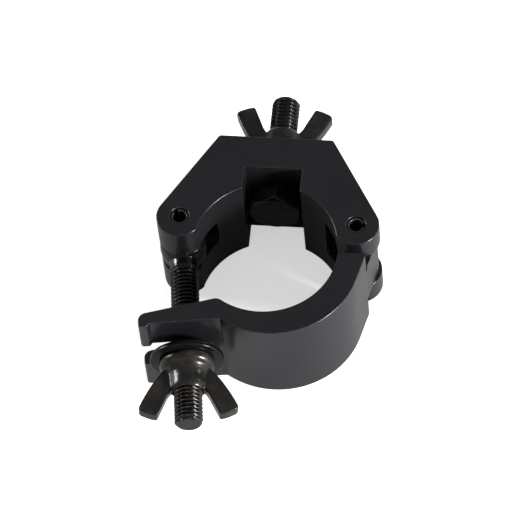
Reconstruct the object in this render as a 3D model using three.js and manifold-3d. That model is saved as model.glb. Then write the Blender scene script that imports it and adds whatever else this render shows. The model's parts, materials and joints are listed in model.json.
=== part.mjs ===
// Half-coupler pipe clamp with two wing nuts: a saddle and a hinged jaw close round a
// 48 to 51 mm pipe, a swing bolt holds them shut, and a mounting bolt carries the load.
// Millimetres, +Z up. The clamp lies on one side with the pipe's axis upright, +Y points
// out of the saddle along the mounting bolt, and +X points to the jaw's hinge. The origin
// is on the lower side face, at the middle of the saddle's bridge. The pieces are drawn
// about the pipe's axis at mid width, and the finished clamp is then set on the origin.

import * as THREE from 'three';
import { mergeVertices } from 'three/addons/utils/BufferGeometryUtils.js';
import Module from 'manifold-3d';

const wasm = await Module();
wasm.setup();

// ---- Driving dimensions ----

const BORE_RADIUS = 25;
const CLAMP_WIDTH = 40;
const EDGE_BREAK = 0.5;
const ARC_STEPS = 10;
const ROUND_STEPS = 48;

// Roll pins, one through each pair of saddle ears
const PIN_X = 30.7;
const PIN_Y = 10.4;
const PIN_RADIUS = 3.05;
const PIN_WALL = 0.7;
const PIN_SLIT_HALF_ANGLE = THREE.MathUtils.degToRad(17);
const PIN_LENGTH = 39;
const PIN_HOLE_RADIUS = 3.3;
const PIN_HOLE_CHAMFER = 0.45;
const HINGE_SLIT_ANGLE = THREE.MathUtils.degToRad(5);
const SWING_SLIT_ANGLE = THREE.MathUtils.degToRad(128);

// Saddle
const SADDLE_TOP_Y = 44.2;
const SADDLE_TOP_HALF = 20;
const SADDLE_CORNER_ROUND = 1.2;
const EAR_RADIUS = 8.1;
const HINGE_SLOT_WIDTH = 20.2;
const SWING_SLOT_WIDTH = 12.8;
const EAR_SLOT_INNER_X = 19;
const EAR_SLOT_TOP_Y = 20.6;
const POCKET_HALF = 10.1;
const POCKET_FLOOR_Y = 31.8;

// Jaw, drawn closed: its outer arc is larger than the bore and sits off its centre
const JAW_OUTER_RADIUS = 29.5;
const JAW_OUTER_CENTRE = new THREE.Vector2(3.4, -4.1);
const JAW_END_Y = -1;
const JAW_END_ROUND = 1;
const JAW_END_CHAMFER = 0.5;
const JAW_REST_ANGLE = THREE.MathUtils.degToRad(1.7);
const KNUCKLE_RADIUS = 7;
const KNUCKLE_WIDTH = 19.8;

// Lug on the jaw, measured from the corner where its front face leaves the outer arc
const LUG_CORNER_X = -13.6;
const LUG_TILT = THREE.MathUtils.degToRad(6.4);
const LUG_LENGTH = 28.2;
const LUG_TIP_THICKNESS = 3.9;
const LUG_ROOT_THICKNESS = 8.4;
const LUG_CREST_WIDTH = 3.4;
const LUG_CREST_SETBACK = 0.5;
const LUG_CREST_FALL = 0.3;
const LUG_TIP_BACK_ROUND = 3;
const LUG_TIP_FRONT_ROUND = 1;
const LIP_HEIGHT = 1.1;
const LIP_WIDTH = 3.2;
const LIP_RUN = 0.6;
const LUG_SLOT_WIDTH = 12;
const LUG_SLOT_ROOT = 9.2;

// Threaded fasteners, drawn as M10, which is an assumed size
const THREAD_RADIUS = 5;
const THREAD_CHAMFER = 1;
const CLEARANCE_HOLE_RADIUS = 5.35;

// Swing bolt: its eye turns on the pin, and it leans in towards the bore
const SWING_LEAN = THREE.MathUtils.degToRad(7.4);
const SWING_LENGTH = 71.6;
const EYE_RADIUS = 8.3;
const EYE_WIDTH = 12;
const EYE_ROUND = 1.8;
const LUG_SEAT = 12.4;

// Mounting bolt and its hexagon head, one corner of which points along the pipe
const HEX_ACROSS_FLATS = 18;
const HEX_HEAD_HEIGHT = 6.7;
const HEX_CHAMFER = 1.2;
const MOUNT_BOLT_LENGTH = 40;

// Washers
const WASHER_HOLE_RADIUS = 5.5;
const CLAMP_WASHER_RADIUS = 12.8;
const MOUNT_WASHER_RADIUS = 10;
const WASHER_THICKNESS = 1.8;
const WASHER_EDGE = 0.3;
const CLAMP_WASHER_DISTANCE = 45.3;

// Wing nut
const NUT_FLANGE_RADIUS = 9.7;
const NUT_FLANGE_HEIGHT = 3;
const NUT_SHOULDER_HEIGHT = 7;
const NUT_NOSE_RADIUS = 6;
const NUT_HEIGHT = 12;
const WING_THICKNESS = 4.6;

// How far the clamp's nut has stopped from having its wings level
const CLAMP_NUT_SPIN = THREE.MathUtils.degToRad(5);

const FIT_GAP = 0.1;

// ---- Materials ----

const anodised = { color: 0x2a2c31, roughness: 0.45, metalness: 0.6 };
const blackZinc = { color: 0x17171a, roughness: 0.25, metalness: 0.8 };
const springSteel = { color: 0x3a3a3c, roughness: 0.35, metalness: 0.9 };

// ---- Solid helpers ----

function solidOf(geometry) {
  geometry.deleteAttribute('normal');
  geometry.deleteAttribute('uv');
  const merged = mergeVertices(geometry, 1e-5);
  return new wasm.Manifold(new wasm.Mesh({
    numProp: 3,
    vertProperties: merged.attributes.position.array,
    triVerts: new Uint32Array(merged.index.array),
  }));
}

function geometryOf(solid) {
  const mesh = solid.getMesh();
  const geometry = new THREE.BufferGeometry();
  geometry.setAttribute('position', new THREE.BufferAttribute(mesh.vertProperties, 3));
  geometry.setIndex(new THREE.BufferAttribute(mesh.triVerts, 1));
  geometry.computeVertexNormals();
  return geometry;
}

function cutAll(solid, cutters) {
  return cutters.reduce((rest, cutter) => rest.subtract(cutter), solid);
}

// A plate from an XY outline, centred on z = 0, with its edges broken by edgeBreak.
function plate(outline, thickness, edgeBreak = 0) {
  const depth = thickness - 2 * edgeBreak;
  const geometry = new THREE.ExtrudeGeometry(outline, {
    depth,
    curveSegments: ARC_STEPS,
    bevelEnabled: edgeBreak > 0,
    bevelThickness: edgeBreak,
    bevelSize: edgeBreak,
    bevelOffset: -edgeBreak,
    bevelSegments: 1,
  });
  return geometry.translate(0, 0, -depth / 2);
}

function box(low, high) {
  const size = new THREE.Vector3().subVectors(high, low);
  const centre = new THREE.Vector3().addVectors(low, high).multiplyScalar(0.5);
  return new THREE.BoxGeometry(size.x, size.y, size.z).translate(centre.x, centre.y, centre.z);
}

// A body of revolution about Y. The profile runs counter-clockwise in (radius, height).
function turned(profile, steps = ROUND_STEPS) {
  return new THREE.LatheGeometry(profile.map(([radius, y]) => new THREE.Vector2(radius, y)), steps);
}

function cylinderY(radius, lowY, highY) {
  const height = highY - lowY;
  return new THREE.CylinderGeometry(radius, radius, height, ROUND_STEPS)
    .translate(0, lowY + height / 2, 0);
}

function cylinderZ(radius, length, x, y) {
  return new THREE.CylinderGeometry(radius, radius, length, ROUND_STEPS)
    .rotateX(Math.PI / 2)
    .translate(x, y, 0);
}

// Runs an outline towards a corner and rounds it on the way to the next point.
function turnCorner(outline, corner, next, radius) {
  const from = outline.currentPoint.clone();
  const arriving = corner.clone().sub(from).normalize();
  const leaving = next.clone().sub(corner).normalize();
  const cut = radius * Math.tan(Math.acos(arriving.dot(leaving)) / 2);
  const start = corner.clone().addScaledVector(arriving, -cut);
  const end = corner.clone().addScaledVector(leaving, cut);
  outline.lineTo(start.x, start.y);
  outline.quadraticCurveTo(corner.x, corner.y, end.x, end.y);
}

function part(name, solidOrGeometry, finish) {
  const geometry = solidOrGeometry.isBufferGeometry ? solidOrGeometry : geometryOf(solidOrGeometry);
  const mesh = new THREE.Mesh(geometry, new THREE.MeshStandardMaterial(finish));
  mesh.name = name;
  return mesh;
}

// ---- Saddle ----

function saddleOutline() {
  const pinDistance = Math.hypot(PIN_X, PIN_Y);
  const pinAngle = Math.atan2(PIN_Y, PIN_X);
  // Where the bore's circle crosses the ear's circle, seen from each centre
  const along = (pinDistance ** 2 + BORE_RADIUS ** 2 - EAR_RADIUS ** 2) / (2 * pinDistance);
  const boreAngle = pinAngle - Math.acos(along / BORE_RADIUS);
  const earAngle = pinAngle + Math.PI + Math.acos((pinDistance - along) / EAR_RADIUS);
  // Where the sloped side touches the ear's circle on its way to the saddle's top corner
  const toCorner = new THREE.Vector2(SADDLE_TOP_HALF - PIN_X, SADDLE_TOP_Y - PIN_Y);
  const sideAngle = toCorner.angle() - Math.acos(EAR_RADIUS / toCorner.length());
  const pocketAngle = Math.acos(POCKET_HALF / BORE_RADIUS);

  const outline = new THREE.Shape();
  outline.absarc(PIN_X, PIN_Y, EAR_RADIUS, earAngle, sideAngle + 2 * Math.PI, false);
  const rightCorner = new THREE.Vector2(SADDLE_TOP_HALF, SADDLE_TOP_Y);
  const leftCorner = new THREE.Vector2(-SADDLE_TOP_HALF, SADDLE_TOP_Y);
  turnCorner(outline, rightCorner, leftCorner, SADDLE_CORNER_ROUND);
  const leftSide = new THREE.Vector2(-PIN_X - EAR_RADIUS * Math.cos(sideAngle), PIN_Y);
  turnCorner(outline, leftCorner, leftSide, SADDLE_CORNER_ROUND);
  outline.absarc(-PIN_X, PIN_Y, EAR_RADIUS, Math.PI - sideAngle, 3 * Math.PI - earAngle, false);
  outline.absarc(0, 0, BORE_RADIUS, Math.PI - boreAngle, Math.PI - pocketAngle, true);
  outline.lineTo(-POCKET_HALF, POCKET_FLOOR_Y);
  outline.lineTo(POCKET_HALF, POCKET_FLOOR_Y);
  outline.absarc(0, 0, BORE_RADIUS, pocketAngle, boreAngle, true);
  return outline;
}

function pinHole(x) {
  const half = CLAMP_WIDTH / 2;
  const mouth = PIN_HOLE_RADIUS + PIN_HOLE_CHAMFER;
  const countersunk = [
    [0, -half - 1],
    [mouth + 1, -half - 1],
    [mouth, -half],
    [PIN_HOLE_RADIUS, -half + PIN_HOLE_CHAMFER],
    [PIN_HOLE_RADIUS, half - PIN_HOLE_CHAMFER],
    [mouth, half],
    [mouth + 1, half + 1],
    [0, half + 1],
  ];
  return turned(countersunk).rotateX(Math.PI / 2).translate(x, PIN_Y, 0);
}

function earSlot(side, width) {
  const inner = side * EAR_SLOT_INNER_X;
  const outer = side * (PIN_X + 2 * EAR_RADIUS);
  const half = width / 2;
  const low = new THREE.Vector3(Math.min(inner, outer), -PIN_Y, -half);
  const high = new THREE.Vector3(Math.max(inner, outer), EAR_SLOT_TOP_Y, half);
  return box(low, high);
}

function makeSaddle() {
  const blank = solidOf(plate(saddleOutline(), CLAMP_WIDTH, EDGE_BREAK));
  const boltHole = cylinderY(CLEARANCE_HOLE_RADIUS, POCKET_FLOOR_Y - 5, SADDLE_TOP_Y + 5);
  const slots = [earSlot(1, HINGE_SLOT_WIDTH), earSlot(-1, SWING_SLOT_WIDTH)];
  const cutters = [...slots, pinHole(PIN_X), pinHole(-PIN_X), boltHole];
  return part('saddle', cutAll(blank, cutters.map(solidOf)), anodised);
}

// ---- Jaw ----

// The straight side of the jaw touches both its outer arc and the knuckle.
function jawSideAngle() {
  const toPin = new THREE.Vector2(PIN_X, PIN_Y).sub(JAW_OUTER_CENTRE);
  return toPin.angle() - Math.acos((JAW_OUTER_RADIUS - KNUCKLE_RADIUS) / toPin.length());
}

function jawOutline() {
  const side = jawSideAngle();
  const sideStart = JAW_OUTER_CENTRE.clone()
    .add(new THREE.Vector2(Math.cos(side), Math.sin(side)).multiplyScalar(JAW_OUTER_RADIUS));
  const cornerAngle = -Math.acos((LUG_CORNER_X - JAW_OUTER_CENTRE.x) / JAW_OUTER_RADIUS);
  const lugCorner = new THREE.Vector2(LUG_CORNER_X,
    JAW_OUTER_CENTRE.y + JAW_OUTER_RADIUS * Math.sin(cornerAngle));
  // A point of the lug: along its front face towards the tip, and forward of that face
  const lugPoint = (along, forward) => new THREE.Vector2(-along, -forward)
    .rotateAround(new THREE.Vector2(), LUG_TILT)
    .add(lugCorner);
  const crest = lugPoint(LUG_CREST_SETBACK, -LUG_ROOT_THICKNESS);
  const crestAngle = Math.atan2(crest.y, crest.x);
  const afterCrest = crestAngle + LUG_CREST_WIDTH / 2 / BORE_RADIUS;
  const endRise = JAW_END_Y - sideStart.y;
  const endOuter = new THREE.Vector2(sideStart.x - endRise * Math.tan(side), JAW_END_Y);
  const endInner = new THREE.Vector2(Math.sqrt(BORE_RADIUS ** 2 - JAW_END_Y ** 2), JAW_END_Y);
  const boreStart = Math.atan2(JAW_END_Y - JAW_END_CHAMFER, BORE_RADIUS);

  const outline = new THREE.Shape();
  outline.absarc(JAW_OUTER_CENTRE.x, JAW_OUTER_CENTRE.y, JAW_OUTER_RADIUS, cornerAngle, side, false);
  turnCorner(outline, endOuter, endInner, JAW_END_ROUND);
  outline.lineTo(endInner.x + JAW_END_CHAMFER, endInner.y);
  outline.absarc(0, 0, BORE_RADIUS, boreStart, afterCrest, true);
  const backStart = lugPoint(LUG_CREST_SETBACK + LUG_CREST_WIDTH / 2,
    LUG_CREST_FALL - LUG_ROOT_THICKNESS);
  outline.quadraticCurveTo(crest.x, crest.y, backStart.x, backStart.y);
  const tipBack = lugPoint(LUG_LENGTH, -LUG_TIP_THICKNESS);
  const tipFront = lugPoint(LUG_LENGTH, LIP_HEIGHT);
  const lipInner = lugPoint(LUG_LENGTH - LIP_WIDTH, LIP_HEIGHT);
  turnCorner(outline, tipBack, tipFront, LUG_TIP_BACK_ROUND);
  turnCorner(outline, tipFront, lipInner, LUG_TIP_FRONT_ROUND);
  outline.lineTo(lipInner.x, lipInner.y);
  const lipFoot = lugPoint(LUG_LENGTH - LIP_WIDTH - LIP_RUN, 0);
  outline.lineTo(lipFoot.x, lipFoot.y);
  return outline;
}

function knuckleOutline() {
  const side = jawSideAngle();
  const pinAngle = Math.atan2(PIN_Y, PIN_X);
  const innerRadius = Math.hypot(PIN_X, PIN_Y) - KNUCKLE_RADIUS;
  const outline = new THREE.Shape();
  outline.absarc(PIN_X, PIN_Y, KNUCKLE_RADIUS, side, Math.PI + pinAngle, false);
  outline.absarc(0, 0, innerRadius, pinAngle, side, true);
  outline.lineTo(JAW_OUTER_CENTRE.x + JAW_OUTER_RADIUS * Math.cos(side),
    JAW_OUTER_CENTRE.y + JAW_OUTER_RADIUS * Math.sin(side));
  return outline;
}

// The slot is open at the lug's tip and round at its root. It lies square to the lug's
// front face, and is measured from the swing bolt's axis.
function lugSlot() {
  const half = LUG_SLOT_WIDTH / 2;
  const rootCentre = LUG_SLOT_ROOT - half;
  const outline = new THREE.Shape();
  outline.absarc(rootCentre, 0, half, -Math.PI / 2, Math.PI / 2, false);
  outline.lineTo(-LUG_LENGTH, half);
  outline.lineTo(-LUG_LENGTH, -half);
  const cornerY = JAW_OUTER_CENTRE.y
    - Math.sqrt(JAW_OUTER_RADIUS ** 2 - (LUG_CORNER_X - JAW_OUTER_CENTRE.x) ** 2);
  const seat = new THREE.Vector2(-LUG_SEAT, 0).rotateAround(new THREE.Vector2(), LUG_TILT);
  return plate(outline, 4 * LUG_ROOT_THICKNESS)
    .rotateX(Math.PI / 2)
    .rotateZ(LUG_TILT)
    .translate(LUG_CORNER_X + seat.x, cornerY + seat.y, 0);
}

function makeJaw() {
  const knuckle = solidOf(plate(knuckleOutline(), KNUCKLE_WIDTH));
  const blank = solidOf(plate(jawOutline(), CLAMP_WIDTH, EDGE_BREAK)).add(knuckle);
  const pinHoleCutter = cylinderZ(PIN_HOLE_RADIUS, CLAMP_WIDTH, PIN_X, PIN_Y);
  const jaw = part('jaw', cutAll(blank, [lugSlot(), pinHoleCutter].map(solidOf)), anodised);
  jaw.position.set(-PIN_X, -PIN_Y, 0);
  return jaw;
}

// ---- Pins ----

function makeRollPin(name, x, slitAngle) {
  const inner = PIN_RADIUS - PIN_WALL;
  const start = slitAngle + PIN_SLIT_HALF_ANGLE;
  const end = slitAngle + 2 * Math.PI - PIN_SLIT_HALF_ANGLE;
  const outline = new THREE.Shape();
  outline.absarc(0, 0, PIN_RADIUS, start, end, false);
  outline.absarc(0, 0, inner, end, start, true);
  const pin = part(name, plate(outline, PIN_LENGTH), springSteel);
  pin.position.set(x, PIN_Y, 0);
  return pin;
}

// ---- Bolts ----

function makeSwingBolt() {
  const half = EYE_WIDTH / 2;
  const corner = (sign, step) => {
    const angle = (sign * step * Math.PI) / 8;
    const radius = EYE_RADIUS - EYE_ROUND * (1 - Math.cos(angle));
    return [radius, sign * (half - EYE_ROUND) + EYE_ROUND * Math.sin(angle)];
  };
  const eyeProfile = [
    [PIN_HOLE_RADIUS, -half],
    ...[4, 3, 2, 1, 0].map((step) => corner(-1, step)),
    ...[0, 1, 2, 3, 4].map((step) => corner(1, step)),
    [PIN_HOLE_RADIUS, half],
    [PIN_HOLE_RADIUS, -half],
  ];
  const shankProfile = [
    [0, -SWING_LENGTH],
    [THREAD_RADIUS - THREAD_CHAMFER, -SWING_LENGTH],
    [THREAD_RADIUS, -SWING_LENGTH + THREAD_CHAMFER],
    [THREAD_RADIUS, -THREAD_RADIUS],
    [0, -THREAD_RADIUS],
  ];
  const eye = solidOf(turned(eyeProfile).rotateX(Math.PI / 2));
  return part('swing_bolt', eye.add(solidOf(turned(shankProfile))), blackZinc);
}

function makeMountingBolt() {
  const seat = POCKET_FLOOR_Y - FIT_GAP;
  const headTop = seat - HEX_HEAD_HEIGHT;
  const tip = seat + MOUNT_BOLT_LENGTH;
  const cornerRadius = HEX_ACROSS_FLATS / Math.sqrt(3);
  const head = new THREE.CylinderGeometry(cornerRadius, cornerRadius, HEX_HEAD_HEIGHT, 6)
    .translate(0, headTop + HEX_HEAD_HEIGHT / 2, 0);
  // A cone clips the head's six corners into a round chamfer
  const chamferCone = turned([
    [0, headTop],
    [cornerRadius - HEX_CHAMFER * Math.sqrt(3), headTop],
    [cornerRadius + 1, headTop + HEX_CHAMFER + 1 / Math.sqrt(3)],
    [cornerRadius + 1, seat + 1],
    [0, seat + 1],
  ]);
  const shank = turned([
    [0, seat - 1],
    [THREAD_RADIUS, seat - 1],
    [THREAD_RADIUS, tip - THREAD_CHAMFER],
    [THREAD_RADIUS - THREAD_CHAMFER, tip],
    [0, tip],
  ]);
  const clippedHead = solidOf(head).intersect(solidOf(chamferCone));
  return part('mounting_bolt', clippedHead.add(solidOf(shank)), blackZinc);
}

// ---- Nuts and washers ----

function makeWasher(name, radius) {
  const profile = [
    [WASHER_HOLE_RADIUS, 0],
    [radius - WASHER_EDGE, 0],
    [radius, WASHER_EDGE],
    [radius, WASHER_THICKNESS - WASHER_EDGE],
    [radius - WASHER_EDGE, WASHER_THICKNESS],
    [WASHER_HOLE_RADIUS, WASHER_THICKNESS],
    [WASHER_HOLE_RADIUS, 0],
  ];
  return part(name, solidOf(turned(profile)), blackZinc);
}

function wingOutline() {
  const outline = new THREE.Shape();
  outline.moveTo(NUT_NOSE_RADIUS, 3);
  outline.lineTo(8, 4.2);
  outline.quadraticCurveTo(13, 9.2, 17.1, 18.2);
  outline.quadraticCurveTo(17.2, 19.5, 15.2, 20.2);
  outline.quadraticCurveTo(13, 21.4, 10.8, 21.6);
  outline.lineTo(7.8, 15);
  outline.quadraticCurveTo(6.9, 12.6, NUT_NOSE_RADIUS, 11.6);
  return outline;
}

// The nut stands on y = 0 with its wings in the XY plane and its nose towards +Y.
function makeWingNut(name) {
  const hub = solidOf(turned([
    [0, 0],
    [NUT_FLANGE_RADIUS - 0.4, 0],
    [NUT_FLANGE_RADIUS, 0.4],
    [NUT_FLANGE_RADIUS, NUT_FLANGE_HEIGHT / 2],
    [NUT_FLANGE_RADIUS - 0.8, NUT_FLANGE_HEIGHT],
    [NUT_FLANGE_RADIUS - 1.4, NUT_FLANGE_HEIGHT + 0.2],
    [NUT_NOSE_RADIUS + 0.5, NUT_SHOULDER_HEIGHT],
    [NUT_NOSE_RADIUS + 0.3, NUT_HEIGHT - 1.4],
    [NUT_NOSE_RADIUS - 0.3, NUT_HEIGHT],
    [0, NUT_HEIGHT],
  ]));
  const wing = solidOf(plate(wingOutline(), WING_THICKNESS, EDGE_BREAK));
  const otherWing = wing.rotate([0, 180, 0]);
  const bore = solidOf(cylinderY(CLEARANCE_HOLE_RADIUS, -1, NUT_HEIGHT + 1));
  return part(name, hub.add(wing).add(otherWing).subtract(bore), blackZinc);
}

// ---- Assembly ----

const object = new THREE.Group();
const clamp = new THREE.Group();
clamp.position.set(0, -(POCKET_FLOOR_Y + SADDLE_TOP_Y) / 2, CLAMP_WIDTH / 2);
object.add(clamp);
clamp.add(makeSaddle());
clamp.add(makeRollPin('hinge_roll_pin', PIN_X, HINGE_SLIT_ANGLE));
clamp.add(makeRollPin('swing_bolt_roll_pin', -PIN_X, SWING_SLIT_ANGLE));

// The jaw hangs on the hinge pin, opened slightly from its concentric position
const jawArm = new THREE.Group();
jawArm.position.set(PIN_X, PIN_Y, 0);
jawArm.rotation.z = JAW_REST_ANGLE;
jawArm.add(makeJaw());
clamp.add(jawArm);

// The swing bolt hangs on the other pin and points down its own -Y
const swingArm = new THREE.Group();
swingArm.position.set(-PIN_X, PIN_Y, 0);
swingArm.rotation.z = SWING_LEAN;
swingArm.add(makeSwingBolt());
const clampWasher = makeWasher('clamp_washer', CLAMP_WASHER_RADIUS);
clampWasher.position.y = -CLAMP_WASHER_DISTANCE - WASHER_THICKNESS;
swingArm.add(clampWasher);
const clampNut = makeWingNut('clamp_wing_nut');
clampNut.position.y = -CLAMP_WASHER_DISTANCE - WASHER_THICKNESS - FIT_GAP;
clampNut.rotation.set(0, CLAMP_NUT_SPIN, Math.PI);
swingArm.add(clampNut);
clamp.add(swingArm);

// The mounting bolt stands in the saddle, with its head down in the pocket
clamp.add(makeMountingBolt());
const mountingWasher = makeWasher('mounting_washer', MOUNT_WASHER_RADIUS);
mountingWasher.position.y = SADDLE_TOP_Y + FIT_GAP;
clamp.add(mountingWasher);
const mountingNut = makeWingNut('mounting_wing_nut');
mountingNut.position.y = SADDLE_TOP_Y + WASHER_THICKNESS + 2 * FIT_GAP;
clamp.add(mountingNut);

export default object;
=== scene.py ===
import json
import math

import bpy
import numpy as np
from mathutils import Matrix, Vector

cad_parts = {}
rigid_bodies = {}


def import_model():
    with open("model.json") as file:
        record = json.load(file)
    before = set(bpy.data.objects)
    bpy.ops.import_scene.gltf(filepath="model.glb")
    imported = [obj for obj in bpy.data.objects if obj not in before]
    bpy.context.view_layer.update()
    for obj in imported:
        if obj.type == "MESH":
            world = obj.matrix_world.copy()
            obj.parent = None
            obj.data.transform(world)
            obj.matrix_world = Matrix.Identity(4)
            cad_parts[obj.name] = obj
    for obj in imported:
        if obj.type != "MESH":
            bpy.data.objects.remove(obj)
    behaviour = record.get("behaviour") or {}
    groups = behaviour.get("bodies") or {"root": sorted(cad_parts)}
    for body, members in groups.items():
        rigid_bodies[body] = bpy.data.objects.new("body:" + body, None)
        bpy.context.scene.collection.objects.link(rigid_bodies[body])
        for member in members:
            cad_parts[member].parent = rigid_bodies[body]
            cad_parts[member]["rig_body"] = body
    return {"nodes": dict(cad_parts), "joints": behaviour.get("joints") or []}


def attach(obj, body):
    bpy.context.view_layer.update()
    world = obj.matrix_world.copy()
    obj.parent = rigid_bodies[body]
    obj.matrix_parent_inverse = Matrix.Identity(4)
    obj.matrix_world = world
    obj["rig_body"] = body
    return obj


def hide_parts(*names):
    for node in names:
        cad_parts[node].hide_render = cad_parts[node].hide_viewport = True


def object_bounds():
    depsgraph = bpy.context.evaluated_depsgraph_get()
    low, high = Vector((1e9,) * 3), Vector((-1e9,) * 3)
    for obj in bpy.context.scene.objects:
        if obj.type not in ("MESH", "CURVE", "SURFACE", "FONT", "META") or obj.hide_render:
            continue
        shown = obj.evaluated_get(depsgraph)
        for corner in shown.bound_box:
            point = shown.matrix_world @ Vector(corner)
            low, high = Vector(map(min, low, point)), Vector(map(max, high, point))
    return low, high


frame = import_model()
cad_low, cad_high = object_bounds()

# ---- Places and sizes read from the frame, in millimetres ----

MM = 0.001
PIN_RISE = 10.4  # the pins lie this far above the pipe's axis
joints = {joint["name"]: joint for joint in frame["joints"]}
hinge_in_frame = Vector(joints["jaw_hinge"]["pos_m"]) / MM
swing_in_frame = Vector(joints["swing_bolt_pivot"]["pos_m"]) / MM
pipe_axis = Vector((0, hinge_in_frame.y - PIN_RISE, hinge_in_frame.z))
to_frame = Matrix.Scale(MM, 4) @ Matrix.Translation(pipe_axis)
hinge_pin = hinge_in_frame - pipe_axis
swing_pin = swing_in_frame - pipe_axis
swing_axis = Vector(joints["clamp_washer_travel"]["axis"]).normalized()
mount_axis = Vector((0, 1, 0))
UP = Vector((0, 0, 1))
ORIGIN = Vector((0, 0, 0))


def reach(node, start, direction):
    """How far a CAD node reaches from a point along a direction."""
    corners = (vertex.co / MM - pipe_axis for vertex in frame["nodes"][node].data.vertices)
    return max((corner - start).dot(direction) for corner in corners)


WIDTH = 2 * reach("saddle", ORIGIN, UP)
SADDLE_TOP = reach("saddle", ORIGIN, mount_axis)
EAR_RADIUS = reach("saddle", hinge_pin, Vector((1, 0, 0)))
PIN_RADIUS = reach("swing_bolt_roll_pin", swing_pin, Vector((-1, 0, 0)))
PIN_LENGTH = 2 * reach("hinge_roll_pin", ORIGIN, UP)
EYE_WIDTH = 2 * reach("swing_bolt", swing_pin, UP)
EYE_RADIUS = reach("swing_bolt", swing_pin, -swing_axis)
SWING_TIP = reach("swing_bolt", swing_pin, swing_axis)
HEAD_TOP = -reach("mounting_bolt", ORIGIN, -mount_axis)
MOUNT_TIP = reach("mounting_bolt", ORIGIN, mount_axis)
CLAMP_WASHER_BACK = -reach("clamp_washer", swing_pin, -swing_axis)
CLAMP_WASHER_RADIUS = reach("clamp_washer", ORIGIN, UP)
MOUNT_WASHER_BACK = -reach("mounting_washer", ORIGIN, -mount_axis)
MOUNT_WASHER_RADIUS = reach("mounting_washer", ORIGIN, UP)
WASHER_THICKNESS = reach("mounting_washer", ORIGIN, mount_axis) - MOUNT_WASHER_BACK
CLAMP_NUT_BASE = -reach("clamp_wing_nut", swing_pin, -swing_axis)
MOUNT_NUT_BASE = -reach("mounting_wing_nut", ORIGIN, -mount_axis)

# ---- Shape details that the frame's boxes don't give, in millimetres ----

# The threads are drawn as M10, which is an assumed size

BORE_RADIUS = 25
EDGE_ROUND = 0.3
PIN_HOLE_RADIUS = 3.3

SADDLE_TOP_HALF = 20
SADDLE_CORNER_ROUND = 1.2
HINGE_SLOT_WIDTH = 20.2
SWING_SLOT_WIDTH = 12.8
EAR_SLOT_INNER_X = 19
EAR_SLOT_TOP_Y = 20.6
POCKET_HALF = 10.1
POCKET_FLOOR_Y = 31.8
BOLT_HOLE_RADIUS = 5.35

JAW_OUTER_RADIUS = 29.5
JAW_OUTER_CENTRE = Vector((3.4, -4.1))
JAW_END_Y = -1
JAW_END_ROUND = 1
JAW_END_CHAMFER = 0.5
JAW_REST_ANGLE = math.radians(1.7)
KNUCKLE_RADIUS = 7
KNUCKLE_WIDTH = 19.8

LUG_CORNER_X = -13.6
LUG_TILT = math.radians(6.4)
LUG_LENGTH = 28.2
LUG_TIP_THICKNESS = 3.9
LUG_ROOT_THICKNESS = 8.4
LUG_CREST_WIDTH = 3.4
LUG_CREST_SETBACK = 0.5
LUG_CREST_FALL = 0.3
LUG_TIP_BACK_ROUND = 3
LUG_TIP_FRONT_ROUND = 1
LUG_SLOT_WIDTH = 12
LUG_SLOT_ROOT = 9.2
LUG_SEAT = 12.4
LIP_HEIGHT = 1.1
LIP_WIDTH = 3.2
LIP_RUN = 0.6

THREAD_RADIUS = 4.97
THREAD_PITCH = 1.5
THREAD_DEPTH = 0.92
THREAD_FLANK = math.radians(30)
THREAD_CREST = 0.19
THREAD_CHAMFER = 1
RINGS_A_PITCH = 10

HEX_ACROSS_FLATS = 18
HEX_CHAMFER_RADIUS = 8.6
HEX_CHAMFER_SLOPE = math.tan(math.radians(30))
HEX_HEAD_HEIGHT = 6.7

PIN_WALL = 0.7
PIN_SLIT_HALF_ANGLE = math.radians(17)
HINGE_SLIT_ANGLE = math.radians(5)
SWING_SLIT_ANGLE = math.radians(128)

WASHER_HOLE_RADIUS = 5.5
CLAMP_NUT_SPIN = math.radians(-5)
NUT_HEIGHT = 12
NUT_FLANGE_RADIUS = 9.7
NUT_NOSE_RADIUS = 6
WING_THICKNESS = 4.6

FINEST_STEP = 0.3
WIDEST_STEP = math.radians(3)

# ---- Mesh helpers ----


class Outline:
    """A closed outline in the XY plane, drawn by straight runs, arcs and rounded corners."""

    def __init__(self, *start):
        self.points = [Vector(start)] if start else []

    def line_to(self, point):
        self.points.append(Vector(point))

    def arc(self, centre, radius, start, end):
        """Runs round a centre from one angle to another, whichever way that is."""
        sweep = abs(end - start)
        steps = max(3, math.ceil(min(sweep / WIDEST_STEP, sweep * radius / FINEST_STEP)))
        for step in range(steps + 1):
            angle = start + (end - start) * step / steps
            self.line_to(Vector(centre) + radius * Vector((math.cos(angle), math.sin(angle))))

    def corner(self, corner, following, radius):
        """Runs to a corner and rounds it on the way to the following point."""
        corner = Vector(corner)
        arriving = (corner - self.points[-1]).normalized()
        leaving = (Vector(following) - corner).normalized()
        turn = math.atan2(arriving.cross(leaving), arriving.dot(leaving))
        side = math.copysign(1, turn)
        start = corner - arriving * radius * math.tan(abs(turn) / 2)
        inward = Vector((-arriving.y, arriving.x)) * side
        centre = start + inward * radius
        angle = math.atan2(-inward.y, -inward.x)
        self.arc(centre, radius, angle, angle + turn)

    def curve(self, control, end, steps=8):
        """A quadratic curve from the last point."""
        start, control, end = self.points[-1].copy(), Vector(control), Vector(end)
        for step in range(1, steps + 1):
            t = step / steps
            self.line_to(start * (1 - t) ** 2 + control * 2 * t * (1 - t) + end * t * t)

    def closed(self):
        """The points, without any that repeat the one before."""
        shifted = [self.points[-1]] + self.points[:-1]
        return [point for point, before in zip(self.points, shifted) if (point - before).length > 1e-4]


def object_of(name, vertices, faces):
    mesh = bpy.data.meshes.new(name)
    mesh.from_pydata(vertices, [], faces)
    mesh.update()
    made = bpy.data.objects.new(name, mesh)
    bpy.context.scene.collection.objects.link(made)
    return made


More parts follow.
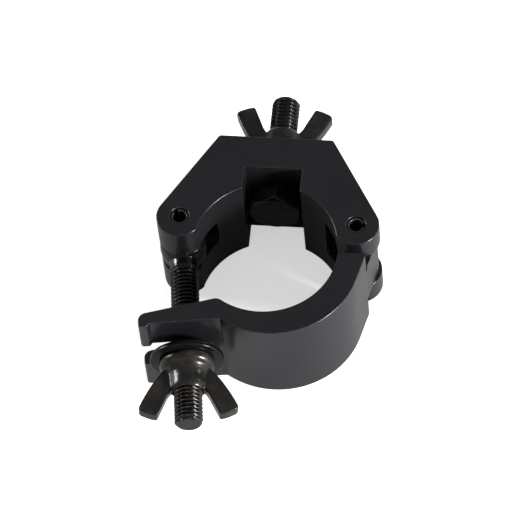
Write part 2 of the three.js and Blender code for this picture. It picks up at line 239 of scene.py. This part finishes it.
def prism(name, outline, length):
    """A closed solid with a counter-clockwise outline, centred on z = 0."""
    points = outline.closed()
    count = len(points)
    low = [(point.x, point.y, -length / 2) for point in points]
    high = [(point.x, point.y, length / 2) for point in points]
    sides = [(i, (i + 1) % count, count + (i + 1) % count, count + i) for i in range(count)]
    caps = [tuple(reversed(range(count))), tuple(range(count, 2 * count))]
    return object_of(name, low + high, sides + caps)


def revolved(name, rings, closed=False, steps=72):
    """A surface round Z. A ring is a radius and a height, each a number or one value a step.
    A closed profile joins its last ring to its first; an open one is capped at both ends."""
    turn = np.arange(steps) * 2 * math.pi / steps
    grid = []
    for radius, height in rings:
        ring = np.empty((steps, 3))
        ring[:, 0], ring[:, 1] = radius * np.cos(turn), radius * np.sin(turn)
        ring[:, 2] = height
        grid.append(ring)
    vertices = [tuple(point) for ring in grid for point in ring]
    count = len(grid)
    faces = []
    for i in range(count if closed else count - 1):
        a, b = i * steps, (i + 1) % count * steps
        faces += [(a + j, a + (j + 1) % steps, b + (j + 1) % steps, b + j) for j in range(steps)]
    if not closed:
        faces += [tuple(reversed(range(steps))), tuple(range((count - 1) * steps, count * steps))]
    return object_of(name, vertices, faces)


def place(piece, origin, axis=UP, spin=0.0):
    """Stands a piece drawn about +Z on an origin, along an axis, turned about that axis."""
    if axis != UP:
        across = axis.cross(UP)
        turned = Matrix((-across, UP, axis)).transposed().to_4x4()
    else:
        turned = Matrix.Identity(4)
    piece.data.transform(Matrix.Translation(origin) @ turned @ Matrix.Rotation(spin, 4, "Z"))
    return piece


def modify(piece, kind, **settings):
    """Adds a modifier and applies it."""
    modifier = piece.modifiers.new(kind.lower(), kind)
    for key, value in settings.items():
        setattr(modifier, key, value)
    evaluated = piece.evaluated_get(bpy.context.evaluated_depsgraph_get())
    mesh = bpy.data.meshes.new_from_object(evaluated)
    piece.modifiers.clear()
    piece.data = mesh


def combine(piece, operation, *others):
    for other in others:
        modify(piece, "BOOLEAN", operation=operation, solver="EXACT", object=other)
        bpy.data.objects.remove(other)


def round_edges(piece, width=EDGE_ROUND):
    """Rounds every sharp edge, and smooths the shading up to the flat faces."""
    piece.data.shade_smooth()
    modify(piece, "BEVEL", width=width, segments=3, limit_method="ANGLE",
           angle_limit=math.radians(30), use_clamp_overlap=False, harden_normals=True)


def smooth_curves(piece):
    """Smooths the shading, except across corners."""
    piece.data.shade_smooth()
    piece.data.set_sharp_from_angle(angle=math.radians(50))


def cast(piece, voxel=0.24, softness=4):
    """Melts overlapping closed shapes into one skin with soft edges and corners."""
    modify(piece, "REMESH", mode="VOXEL", voxel_size=voxel)
    modify(piece, "SMOOTH", factor=0.5, iterations=softness)
    piece.data.shade_smooth()


def finish_piece(piece, node, material):
    """Sets a finished piece on the frame, in place of its CAD node."""
    piece.name = piece.data.name = node + "_skin"
    piece.data.transform(to_frame)
    piece.data.materials.clear()
    piece.data.materials.append(material)
    body = frame["nodes"][node]["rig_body"]
    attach(piece, body)
    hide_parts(node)


# ---- Materials ----


class Shader:
    """One node material: helpers that add a node and return its output."""

    def __init__(self, name):
        self.material = bpy.data.materials.new(name)
        self.material.use_nodes = True
        self.tree = self.material.node_tree
        self.surface = self.tree.nodes["Principled BSDF"]
        self.place = self.node("ShaderNodeTexCoord").outputs["Object"]

    def node(self, kind, inputs=(), **settings):
        made = self.tree.nodes.new(kind)
        for key, value in settings.items():
            setattr(made, key, value)
        for key, value in dict(inputs).items():
            self.feed(made.inputs[key], value)
        return made

    def feed(self, socket, value):
        if isinstance(value, bpy.types.NodeSocket):
            self.tree.links.new(value, socket)
        else:
            socket.default_value = value

    def noise(self, size, detail=3.0, stretch=(1, 1, 1)):
        """Noise whose grains are about size millimetres across."""
        scale = [1 / (size * MM * factor) for factor in stretch]
        mapped = self.node("ShaderNodeMapping", {"Vector": self.place, "Scale": scale})
        inputs = {"Vector": mapped.outputs[0], "Scale": 1.0, "Detail": detail}
        return self.node("ShaderNodeTexNoise", inputs).outputs["Fac"]

    def remap(self, value, low, high, to_low=0.0, to_high=1.0):
        inputs = {"Value": value, "From Min": low, "From Max": high,
                  "To Min": to_low, "To Max": to_high}
        return self.node("ShaderNodeMapRange", inputs).outputs[0]

    def math(self, operation, first, second=0.0):
        return self.node("ShaderNodeMath", {0: first, 1: second}, operation=operation).outputs[0]

    def mix(self, factor, first, second):
        inputs = {0: factor, 6: first, 7: second}
        return self.node("ShaderNodeMix", inputs, data_type="RGBA").outputs[2]

    def edges(self, radius):
        """1 on edges rounded within radius millimetres, 0 on flat and gently curved faces."""
        rounded = self.node("ShaderNodeBevel", {"Radius": radius * MM}, samples=6).outputs[0]
        normal = self.node("ShaderNodeNewGeometry").outputs["Normal"]
        dot = self.node("ShaderNodeVectorMath", {0: rounded, 1: normal}, operation="DOT_PRODUCT")
        return self.remap(dot.outputs["Value"], 0.995, 0.9)

    def crests(self, low, high):
        """1 on the outermost ridges of a dense mesh."""
        return self.remap(self.node("ShaderNodeNewGeometry").outputs["Pointiness"], low, high)

    def walls(self):
        """1 on faces that stand along Z, 0 on those square to it."""
        normal = self.node("ShaderNodeNewGeometry").outputs["Normal"]
        height = self.node("ShaderNodeSeparateXYZ", {0: normal}).outputs["Z"]
        return self.remap(self.math("ABSOLUTE", height), 0.6, 0.3)

    def bump(self, height, strength, depth, under=None):
        """A bump of a depth in millimetres, over an earlier one."""
        inputs = {"Height": height, "Strength": strength, "Distance": depth * MM}
        if under is not None:
            inputs["Normal"] = under
        return self.node("ShaderNodeBump", inputs).outputs[0]

    def finish(self, **inputs):
        names = {"color": "Base Color", "ior_level": "Specular IOR Level"}
        for key, value in inputs.items():
            name = names.get(key, key.replace("_", " ").title())
            self.feed(self.surface.inputs[name], value)
        return self.material


def grey(value, tint=(1, 1, 1)):
    return (value * tint[0], value * tint[1], value * tint[2], 1)


COOL = (0.97, 0.99, 1.14)
WARM = (1.18, 1.0, 0.82)


def anodised_black():
    """Black anodised aluminium profile: an even satin, faint die lines, edges painted lighter: partly
    rubbed wear, partly painted highlights along the edges.
    """
    shader = Shader("anodised_black")
    cloudy = shader.noise(16, 3)
    grain = shader.noise(0.45, 2)
    die_lines = shader.noise(0.9, 2, (1, 1, 60))
    # Painted highlight: the edges get a lighter, glossier colour, partly rubbed wear and partly standing
    # in for the glints along the edges.
    bright_edges = shader.math("MULTIPLY", shader.edges(0.5), shader.remap(shader.noise(1.7, 4), 0.42, 0.66))
    color = shader.mix(cloudy, grey(0.0045, COOL), grey(0.0065, COOL))
    color = shader.mix(shader.remap(grain, 0.62, 0.8, 0, 0.35), color, grey(0.014, COOL))
    # Lighter grey on the edge mask: rubbed metal and painted edge highlights.
    color = shader.mix(shader.math("MULTIPLY", bright_edges, 0.55), color, grey(0.12))
    roughness = shader.math("ADD", shader.remap(cloudy, 0.3, 0.7, 0.26, 0.33),
                            shader.math("MULTIPLY", bright_edges, -0.08))
    bump = shader.bump(grain, 0.22, 0.03)
    lines = shader.math("MULTIPLY", die_lines, shader.walls())
    bump = shader.bump(lines, 0.25, 0.02, bump)
    return shader.finish(color=color, roughness=roughness, normal=bump,
                         specular_tint=(0.89, 0.92, 1.0, 1))


def black_fastener(name, crest_low, crest_high, roughness, crest_wear_and_glint=0.6, mottle=0.6, gloss=0.3, base=0.003):
    """Glossy black plate on steel or cast zinc, brown-grey on its ridges: partly rubbed wear, partly a
    painted highlight along the crests.
    """
    shader = Shader(name)
    cloudy = shader.noise(5, 4)
    grain = shader.noise(0.6, 3)
    # Painted highlight: the ridges and thread crests get a warm brown-grey, partly rubbed wear and partly
    # standing in for the thin light lines on the crests.
    bright_edges = shader.math("MULTIPLY", shader.crests(crest_low, crest_high),
                         shader.remap(shader.noise(1.3, 4), 0.35, 0.62))
    color = shader.mix(shader.remap(cloudy, 0.35, 0.7), grey(base), grey(2.3 * base, WARM))
    # Warm brown-grey on the crest mask: rubbed plate and painted crest highlights.
    color = shader.mix(shader.math("MULTIPLY", bright_edges, crest_wear_and_glint), color, grey(0.16, WARM))
    rough = shader.remap(cloudy, 0.3, 0.7, roughness - 0.06, roughness + 0.08)
    rough = shader.math("ADD", rough, shader.math("MULTIPLY", bright_edges, 0.12))
    bump = shader.bump(cloudy, mottle, 0.08)
    bump = shader.bump(grain, 0.25, 0.02, bump)
    return shader.finish(color=color, roughness=rough, normal=bump,
                         metallic=shader.math("MULTIPLY", bright_edges, 0.6), ior_level=gloss)


def washer_black():
    """Black zinc on a stamped washer, its rim painted bright: partly rubbed wear, partly a painted
    highlight.
    """
    shader = Shader("washer_black")
    cloudy = shader.noise(4, 4)
    # Painted highlight: the rim gets a bright metallic grey, partly rubbed wear and partly standing in
    # for the highlights on the rim.
    bright_edges = shader.math("MULTIPLY", shader.edges(0.35), shader.remap(shader.noise(1.1, 3), 0.35, 0.6))
    color = shader.mix(cloudy, grey(0.002), grey(0.005, WARM))
    # Bright grey on the rim mask: rubbed zinc and a painted rim highlight.
    color = shader.mix(shader.math("MULTIPLY", bright_edges, 0.7), color, grey(0.26))
    rough = shader.remap(cloudy, 0.3, 0.7, 0.16, 0.28)
    bump = shader.bump(shader.noise(0.5, 3), 0.3, 0.02)
    return shader.finish(color=color, roughness=rough, normal=bump,
                         metallic=shader.math("MULTIPLY", bright_edges, 0.8), ior_level=0.14)


def spring_steel():
    """Blackened spring steel, rubbed to grey metal at the pins' ends."""
    shader = Shader("spring_steel")
    cloudy = shader.noise(1.6, 4)
    bright_edges = shader.math("MULTIPLY", shader.edges(0.3), shader.remap(cloudy, 0.3, 0.5, 0.5, 1))
    color = shader.mix(bright_edges, grey(0.01), grey(0.22))
    rough = shader.remap(cloudy, 0.3, 0.7, 0.25, 0.45)
    bump = shader.bump(shader.noise(0.3, 3), 0.3, 0.02)
    return shader.finish(color=color, roughness=rough, normal=bump,
                         metallic=shader.remap(bright_edges, 0, 1, 0, 0.95))


# ---- Saddle ----


def saddle_outline():
    pin_distance = hinge_pin.xy.length
    pin_angle = math.atan2(hinge_pin.y, hinge_pin.x)
    # Where the bore's circle crosses the ear's circle, seen from each centre
    along = (pin_distance ** 2 + BORE_RADIUS ** 2 - EAR_RADIUS ** 2) / (2 * pin_distance)
    bore_angle = pin_angle - math.acos(along / BORE_RADIUS)
    ear_angle = pin_angle + math.pi + math.acos((pin_distance - along) / EAR_RADIUS)
    # Where the sloped side touches the ear's circle on its way to the saddle's top corner
    to_corner = Vector((SADDLE_TOP_HALF, SADDLE_TOP)) - hinge_pin.xy
    side_angle = math.atan2(to_corner.y, to_corner.x) - math.acos(EAR_RADIUS / to_corner.length)
    pocket_angle = math.acos(POCKET_HALF / BORE_RADIUS)

    outline = Outline()
    outline.arc(hinge_pin.xy, EAR_RADIUS, ear_angle, side_angle + 2 * math.pi)
    right_corner = Vector((SADDLE_TOP_HALF, SADDLE_TOP))
    left_corner = Vector((-SADDLE_TOP_HALF, SADDLE_TOP))
    outline.corner(right_corner, left_corner, SADDLE_CORNER_ROUND)
    left_side = swing_pin.xy + EAR_RADIUS * Vector((-math.cos(side_angle), math.sin(side_angle)))
    outline.corner(left_corner, left_side, SADDLE_CORNER_ROUND)
    outline.arc(swing_pin.xy, EAR_RADIUS, math.pi - side_angle, 3 * math.pi - ear_angle)
    outline.arc((0, 0), BORE_RADIUS, math.pi - bore_angle, math.pi - pocket_angle)
    outline.line_to((-POCKET_HALF, POCKET_FLOOR_Y))
    outline.line_to((POCKET_HALF, POCKET_FLOOR_Y))
    outline.arc((0, 0), BORE_RADIUS, pocket_angle, bore_angle)
    return outline


def rod(radius, length, centre, axis=UP):
    """A round cutter centred on a point."""
    made = revolved("cutter", [(radius, -length / 2), (radius, length / 2)])
    return place(made, centre, axis)


def ear_slot(side, width):
    inner, outer = side * EAR_SLOT_INNER_X, side * (abs(hinge_pin.x) + 2 * EAR_RADIUS)
    outline = Outline(min(inner, outer), -hinge_pin.y)
    outline.line_to((max(inner, outer), -hinge_pin.y))
    outline.line_to((max(inner, outer), EAR_SLOT_TOP_Y))
    outline.line_to((min(inner, outer), EAR_SLOT_TOP_Y))
    return prism("cutter", outline, width)


def make_saddle(material):
    saddle = prism("saddle_blank", saddle_outline(), WIDTH)
    pin_holes = [rod(PIN_HOLE_RADIUS, 2 * WIDTH, pin) for pin in (hinge_pin, swing_pin)]
    bolt_hole = rod(BOLT_HOLE_RADIUS, 2 * SADDLE_TOP_HALF, Vector((0, SADDLE_TOP, 0)), mount_axis)
    slots = [ear_slot(1, HINGE_SLOT_WIDTH), ear_slot(-1, SWING_SLOT_WIDTH)]
    combine(saddle, "DIFFERENCE", *slots, *pin_holes, bolt_hole)
    round_edges(saddle)
    finish_piece(saddle, "saddle", material)


# ---- Jaw, drawn closed ----


def jaw_side_angle():
    """The direction square to the jaw's straight side, which touches its arc and its knuckle."""
    to_pin = hinge_pin.xy - JAW_OUTER_CENTRE
    bend = math.acos((JAW_OUTER_RADIUS - KNUCKLE_RADIUS) / to_pin.length)
    return math.atan2(to_pin.y, to_pin.x) - bend


def lug_corner():
    across = LUG_CORNER_X - JAW_OUTER_CENTRE.x
    return Vector((LUG_CORNER_X, JAW_OUTER_CENTRE.y - math.sqrt(JAW_OUTER_RADIUS ** 2 - across ** 2)))


def lug_point(along, forward):
    """A point of the lug: along its front face towards the tip, and forward of that face."""
    return lug_corner() + Matrix.Rotation(LUG_TILT, 2) @ Vector((-along, -forward))


def jaw_outline():
    side = jaw_side_angle()
    side_start = JAW_OUTER_CENTRE + JAW_OUTER_RADIUS * Vector((math.cos(side), math.sin(side)))
    corner_angle = -math.acos((LUG_CORNER_X - JAW_OUTER_CENTRE.x) / JAW_OUTER_RADIUS)
    crest = lug_point(LUG_CREST_SETBACK, -LUG_ROOT_THICKNESS)
    after_crest = math.atan2(crest.y, crest.x) + LUG_CREST_WIDTH / 2 / BORE_RADIUS
    end_rise = JAW_END_Y - side_start.y
    end_outer = Vector((side_start.x - end_rise * math.tan(side), JAW_END_Y))
    end_inner = Vector((math.sqrt(BORE_RADIUS ** 2 - JAW_END_Y ** 2), JAW_END_Y))

    outline = Outline()
    outline.arc(JAW_OUTER_CENTRE, JAW_OUTER_RADIUS, corner_angle, side)
    outline.corner(end_outer, end_inner, JAW_END_ROUND)
    outline.line_to(end_inner + Vector((JAW_END_CHAMFER, 0)))
    bore_start = math.atan2(JAW_END_Y - JAW_END_CHAMFER, BORE_RADIUS)
    outline.arc((0, 0), BORE_RADIUS, bore_start, after_crest)
    back_start = lug_point(LUG_CREST_SETBACK + LUG_CREST_WIDTH / 2,
                           LUG_CREST_FALL - LUG_ROOT_THICKNESS)
    outline.curve(crest, back_start)
    tip_back = lug_point(LUG_LENGTH, -LUG_TIP_THICKNESS)
    tip_front = lug_point(LUG_LENGTH, LIP_HEIGHT)
    lip_inner = lug_point(LUG_LENGTH - LIP_WIDTH, LIP_HEIGHT)
    outline.corner(tip_back, tip_front, LUG_TIP_BACK_ROUND)
    outline.corner(tip_front, lip_inner, LUG_TIP_FRONT_ROUND)
    outline.line_to(lip_inner)
    outline.line_to(lug_point(LUG_LENGTH - LIP_WIDTH - LIP_RUN, 0))
    return outline


def knuckle_outline():
    """The knuckle takes over the jaw's straight side just where the jaw's end starts to round."""
    side = jaw_side_angle()
    pin_angle = math.atan2(hinge_pin.y, hinge_pin.x)
    outward = Vector((math.cos(side), math.sin(side)))
    along = Vector((-outward.y, outward.x))
    side_start = JAW_OUTER_CENTRE + JAW_OUTER_RADIUS * outward
    rounding = JAW_END_ROUND * math.tan((math.pi / 2 - side) / 2)
    touch = side_start + along * ((JAW_END_Y - side_start.y) / along.y - rounding)
    inner_radius = hinge_pin.xy.length - KNUCKLE_RADIUS
    outline = Outline()
    outline.arc(hinge_pin.xy, KNUCKLE_RADIUS, side, math.pi + pin_angle)
    outline.arc((0, 0), inner_radius, pin_angle, math.asin((JAW_END_Y - 2) / inner_radius))
    outline.line_to(touch - 1.5 * outward - 1.5 * along)
    outline.line_to(touch)
    return outline


def lug_slot():
    """The slot for the swing bolt, open at the lug's tip and round at its root."""
    half = LUG_SLOT_WIDTH / 2
    outline = Outline()
    outline.arc((LUG_SLOT_ROOT - half, 0), half, -math.pi / 2, math.pi / 2)
    outline.line_to((-LUG_LENGTH, half))
    outline.line_to((-LUG_LENGTH, -half))
    slot = prism("cutter", outline, 4 * LUG_ROOT_THICKNESS)
    seat = lug_point(LUG_SEAT, 0)
    upright = Matrix.Rotation(math.pi / 2, 4, "X")
    slot.data.transform(Matrix.Translation(seat.to_3d()) @ Matrix.Rotation(LUG_TILT, 4, "Z") @ upright)
    return slot


def make_jaw(material):
    jaw = prism("jaw_blank", jaw_outline(), WIDTH)
    combine(jaw, "UNION", prism("cutter", knuckle_outline(), KNUCKLE_WIDTH))
    combine(jaw, "DIFFERENCE", lug_slot(), rod(PIN_HOLE_RADIUS, 2 * WIDTH, hinge_pin))
    round_edges(jaw)
    swung = Matrix.Translation(hinge_pin) @ Matrix.Rotation(JAW_REST_ANGLE, 4, "Z")
    jaw.data.transform(swung @ Matrix.Translation(-hinge_pin))
    finish_piece(jaw, "jaw", material)


# ---- Roll pins ----


def make_roll_pin(node, centre, slit_angle, material):
    start = slit_angle + PIN_SLIT_HALF_ANGLE
    end = slit_angle + 2 * math.pi - PIN_SLIT_HALF_ANGLE
    outline = Outline()
    outline.arc((0, 0), PIN_RADIUS, start, end)
    outline.arc((0, 0), PIN_RADIUS - PIN_WALL, end, start)
    pin = prism("pin_blank", outline, PIN_LENGTH)
    round_edges(pin, 0.25)
    place(pin, centre)
    finish_piece(pin, node, material)


# ---- Bolts ----


def thread(start, end, steps=72):
    """Rings of a right-hand thread along Z, running out at its start and chamfered at its end."""
    turn = np.arange(steps) / steps
    for height in np.arange(start, end, THREAD_PITCH / RINGS_A_PITCH):
        from_crest = abs((height / THREAD_PITCH - turn) % 1 - 0.5) * THREAD_PITCH
        cut = np.clip((from_crest - THREAD_CREST / 2) / math.tan(THREAD_FLANK), 0, THREAD_DEPTH)
        radius = THREAD_RADIUS - cut * min(1, (height - start) / THREAD_PITCH)
        yield np.minimum(radius, THREAD_RADIUS - THREAD_CHAMFER + end - height), height
    yield THREAD_RADIUS - THREAD_CHAMFER - 0.1, end


def make_swing_bolt(material):
    half = EYE_WIDTH / 2
    round_start, barrel = 0.7 * half, 0.35
    eye = revolved("eye", [
        (PIN_HOLE_RADIUS, -half + 0.4), (PIN_HOLE_RADIUS + 0.4, -half), (EYE_RADIUS - 1.8, -half),
        (EYE_RADIUS - 0.8, -half + 0.7), (EYE_RADIUS - barrel, -round_start), (EYE_RADIUS, 0),
        (EYE_RADIUS - barrel, round_start), (EYE_RADIUS - 0.8, half - 0.7), (EYE_RADIUS - 1.8, half),
        (PIN_HOLE_RADIUS + 0.4, half), (PIN_HOLE_RADIUS, half - 0.4),
    ], closed=True)
    place(eye, swing_pin)
    neck_end = EYE_RADIUS + 3
    neck = revolved("neck", [(1, 4.6), (5, 4.6), (5, EYE_RADIUS), (4.9, EYE_RADIUS + 1),
                             (4.9, neck_end - 0.4), (4.4, neck_end)])
    place(neck, swing_pin, swing_axis)
    combine(eye, "UNION", neck)
    cast(eye, 0.28, 8)
    shank_start = neck_end - 1.5
    shank = revolved("shank", [(1, shank_start), (4, shank_start), *thread(neck_end - 0.9, SWING_TIP)])
    place(shank, swing_pin, swing_axis)
    smooth_curves(shank)
    combine(eye, "UNION", shank)
    finish_piece(eye, "swing_bolt", material)


def make_mounting_bolt(material):
    corner_radius = HEX_ACROSS_FLATS / math.sqrt(3)
    seat = HEAD_TOP + HEX_HEAD_HEIGHT
    hexagon = Outline()
    for side in range(6):
        angle = (side + 0.5) * math.pi / 3
        hexagon.line_to(corner_radius * Vector((math.cos(angle), math.sin(angle))))
    head = prism("head", hexagon, HEX_HEAD_HEIGHT)
    head.data.transform(Matrix.Translation((0, 0, HEAD_TOP + HEX_HEAD_HEIGHT / 2)))
    reach_out = corner_radius + 1 - HEX_CHAMFER_RADIUS
    cone = revolved("cutter", [
        (HEX_CHAMFER_RADIUS, HEAD_TOP), (corner_radius + 1, HEAD_TOP + reach_out * HEX_CHAMFER_SLOPE),
        (corner_radius + 1, seat + 1),
    ])
    combine(head, "INTERSECT", cone)
    modify(head, "BEVEL", width=0.22, segments=2, limit_method="ANGLE",
           angle_limit=math.radians(20), use_clamp_overlap=False)
    shank = revolved("shank", [(1, seat - 2), (4.4, seat - 2), (5, seat - 1), (5, seat + 1),
                               *thread(seat + 1.2, MOUNT_TIP)])
    combine(head, "UNION", shank)
    smooth_curves(head)
    place(head, ORIGIN, mount_axis)
    finish_piece(head, "mounting_bolt", material)


# ---- Nuts and washers ----


def make_washer(node, radius, origin, axis, back, material):
    thickness, hole = WASHER_THICKNESS, WASHER_HOLE_RADIUS
    washer = revolved("washer", [
        (hole, 0.15), (hole + 0.15, 0), (radius - 0.2, 0), (radius - 0.05, 0.08), (radius, 0.25),
        (radius, thickness - 0.6), (radius - 0.08, thickness - 0.32), (radius - 0.25, thickness - 0.12),
        (radius - 0.55, thickness), (hole + 0.4, thickness), (hole + 0.1, thickness - 0.12),
        (hole, thickness - 0.4),
    ], closed=True, steps=120)
    smooth_curves(washer)
    place(washer, origin + axis * back, axis)
    finish_piece(washer, node, material)


def wing_outline(side):
    outline = Outline(NUT_NOSE_RADIUS - 0.5, 2.4)
    outline.line_to((8.2, 3.8))
    outline.curve((13, 9.2), (17.1, 18.2))
    outline.curve((17.2, 19.5), (15.2, 20.2), 4)
    outline.curve((13, 21.4), (10.8, 21.6), 4)
    outline.line_to((7.8, 15))
    outline.curve((6.9, 12.6), (NUT_NOSE_RADIUS - 0.5, 11.2))
    outline.points = [Vector((side * point.x, point.y)) for point in outline.points][::side]
    return outline


def make_wing_nut(node, origin, axis, base, spin, material):
    """A cast nut drawn along +Z: a flange, a hollowed hub with a round nose, and two wings."""
    hub = revolved("hub", [
        (BOLT_HOLE_RADIUS, 0.3), (BOLT_HOLE_RADIUS + 0.3, 0), (NUT_FLANGE_RADIUS - 0.3, 0),
        (NUT_FLANGE_RADIUS, 0.3), (NUT_FLANGE_RADIUS, 1.5), (NUT_FLANGE_RADIUS - 0.3, 2.3),
        (NUT_FLANGE_RADIUS - 0.9, 3), (8.2, 3.2), (7.6, 3.8), (6.8, 5.4), (6.5, 7),
        (6.4, NUT_HEIGHT - 2.2), (6.2, NUT_HEIGHT - 1.2), (5.7, NUT_HEIGHT - 0.3),
        (BOLT_HOLE_RADIUS, NUT_HEIGHT),
    ], closed=True)
    wings = [prism("wing", wing_outline(side), WING_THICKNESS) for side in (1, -1)]
    for wing in wings:
        modify(wing, "BEVEL", width=0.5, segments=2, limit_method="ANGLE",
               angle_limit=math.radians(50), use_clamp_overlap=False)
        wing.data.transform(Matrix.Rotation(math.pi / 2, 4, "X"))
    combine(hub, "UNION", *wings)
    cast(hub)
    place(hub, origin + axis * base, axis, spin)
    finish_piece(hub, node, material)


# ---- The clamp ----

body_black = anodised_black()
bolt_black = black_fastener("bolt_black", 0.53, 0.62, 0.16, crest_wear_and_glint=0.75)
mount_black = black_fastener("mount_black", 0.6, 0.74, 0.16, crest_wear_and_glint=0.5, gloss=0.45)
nut_black = black_fastener("nut_black", 0.56, 0.68, 0.2, crest_wear_and_glint=0.6, mottle=0.8, gloss=0.26, base=0.007)
washer_finish = washer_black()
pin_steel = spring_steel()

make_saddle(body_black)
make_jaw(body_black)
make_roll_pin("hinge_roll_pin", hinge_pin, HINGE_SLIT_ANGLE, pin_steel)
make_roll_pin("swing_bolt_roll_pin", swing_pin, SWING_SLIT_ANGLE, pin_steel)
make_swing_bolt(bolt_black)
make_mounting_bolt(mount_black)
make_washer("clamp_washer", CLAMP_WASHER_RADIUS, swing_pin, swing_axis, CLAMP_WASHER_BACK, washer_finish)
make_washer("mounting_washer", MOUNT_WASHER_RADIUS, ORIGIN, mount_axis, MOUNT_WASHER_BACK, washer_finish)
make_wing_nut("clamp_wing_nut", swing_pin, swing_axis, CLAMP_NUT_BASE, CLAMP_NUT_SPIN, nut_black)
make_wing_nut("mounting_wing_nut", ORIGIN, mount_axis, MOUNT_NUT_BASE, 0, nut_black)

# ---- Studio, in metres ----

FLOOR_HALF_M = 8
FLOOR_GAP_M = 0.0001
FLOOR_GLOW = 0.55
WORLD_SEEN, WORLD_FELT = 1.0, 0.3
CAMERA_PLACE_M = (0.13628, -0.73455, 1.22030)
CAMERA_LENS, CAMERA_SENSOR = 282.35, 36
CAMERA_HEADING = math.radians(11.364)
CAMERA_TILT = math.radians(30.906)
CAMERA_ROLL = math.radians(-6.884)


def floor_white():
    """A pale floor that the camera sees a little brighter than the object's faces do."""
    shader = Shader("floor_white")
    seen = shader.node("ShaderNodeLightPath").outputs["Is Camera Ray"]
    pale = shader.mix(shader.noise(60, 2), grey(0.86), grey(0.88))
    color = shader.mix(seen, grey(0.6), pale)
    shader.feed(shader.surface.inputs["Emission Color"], (1, 1, 1, 1))
    shader.feed(shader.surface.inputs["Emission Strength"], shader.math("MULTIPLY", seen, FLOOR_GLOW))
    return shader.finish(color=color, roughness=0.6, ior_level=0.2)


def make_floor():
    half, height = FLOOR_HALF_M, cad_low.z - FLOOR_GAP_M
    corners = [(-half, -half, height), (half, -half, height), (half, half, height), (-half, half, height)]
    floor = object_of("floor", corners, [(0, 1, 2, 3)])
    floor.data.materials.append(floor_white())


def make_light(name, place_m, size, power, target=(0, -0.03, 0.02)):
    light = bpy.data.lights.new(name, "AREA")
    light.shape = "DISK"
    light.size, light.energy = size, power
    made = bpy.data.objects.new(name, light)
    made.location = place_m
    made.rotation_euler = (Vector(target) - Vector(place_m)).to_track_quat("-Z", "Y").to_euler()
    bpy.context.scene.collection.objects.link(made)


def make_world(seen, felt):
    """A pale backdrop to the camera, and a dimmer grey that fills the shadows."""
    world = bpy.data.worlds.new("studio")
    world.use_nodes = True
    nodes, links = world.node_tree.nodes, world.node_tree.links
    path = nodes.new("ShaderNodeLightPath")
    mix = nodes.new("ShaderNodeMix")
    mix.inputs[2].default_value, mix.inputs[3].default_value = felt, seen
    links.new(path.outputs["Is Camera Ray"], mix.inputs[0])
    links.new(mix.outputs[0], nodes["Background"].inputs["Strength"])
    nodes["Background"].inputs["Color"].default_value = (1, 1, 1, 1)
    bpy.context.scene.world = world


def make_camera():
    camera = bpy.data.objects.new("camera", bpy.data.cameras.new("camera"))
    camera.data.lens, camera.data.sensor_width = CAMERA_LENS, CAMERA_SENSOR
    camera.data.clip_start, camera.data.clip_end = 0.1, 20
    camera.location = CAMERA_PLACE_M
    turned = (Matrix.Rotation(CAMERA_HEADING, 3, "Z") @ Matrix.Rotation(CAMERA_TILT, 3, "X")
              @ Matrix.Rotation(CAMERA_ROLL, 3, "Z"))
    camera.rotation_euler = turned.to_euler()
    bpy.context.scene.collection.objects.link(camera)
    bpy.context.scene.camera = camera


make_floor()
make_world(WORLD_SEEN, WORLD_FELT)
make_light("right", (1.6, -0.9, 0.5), 0.5, 100)
make_light("left", (-1.5, 0.3, 0.5), 0.6, 26)
make_camera()
bpy.context.scene.view_settings.view_transform = "Standard"
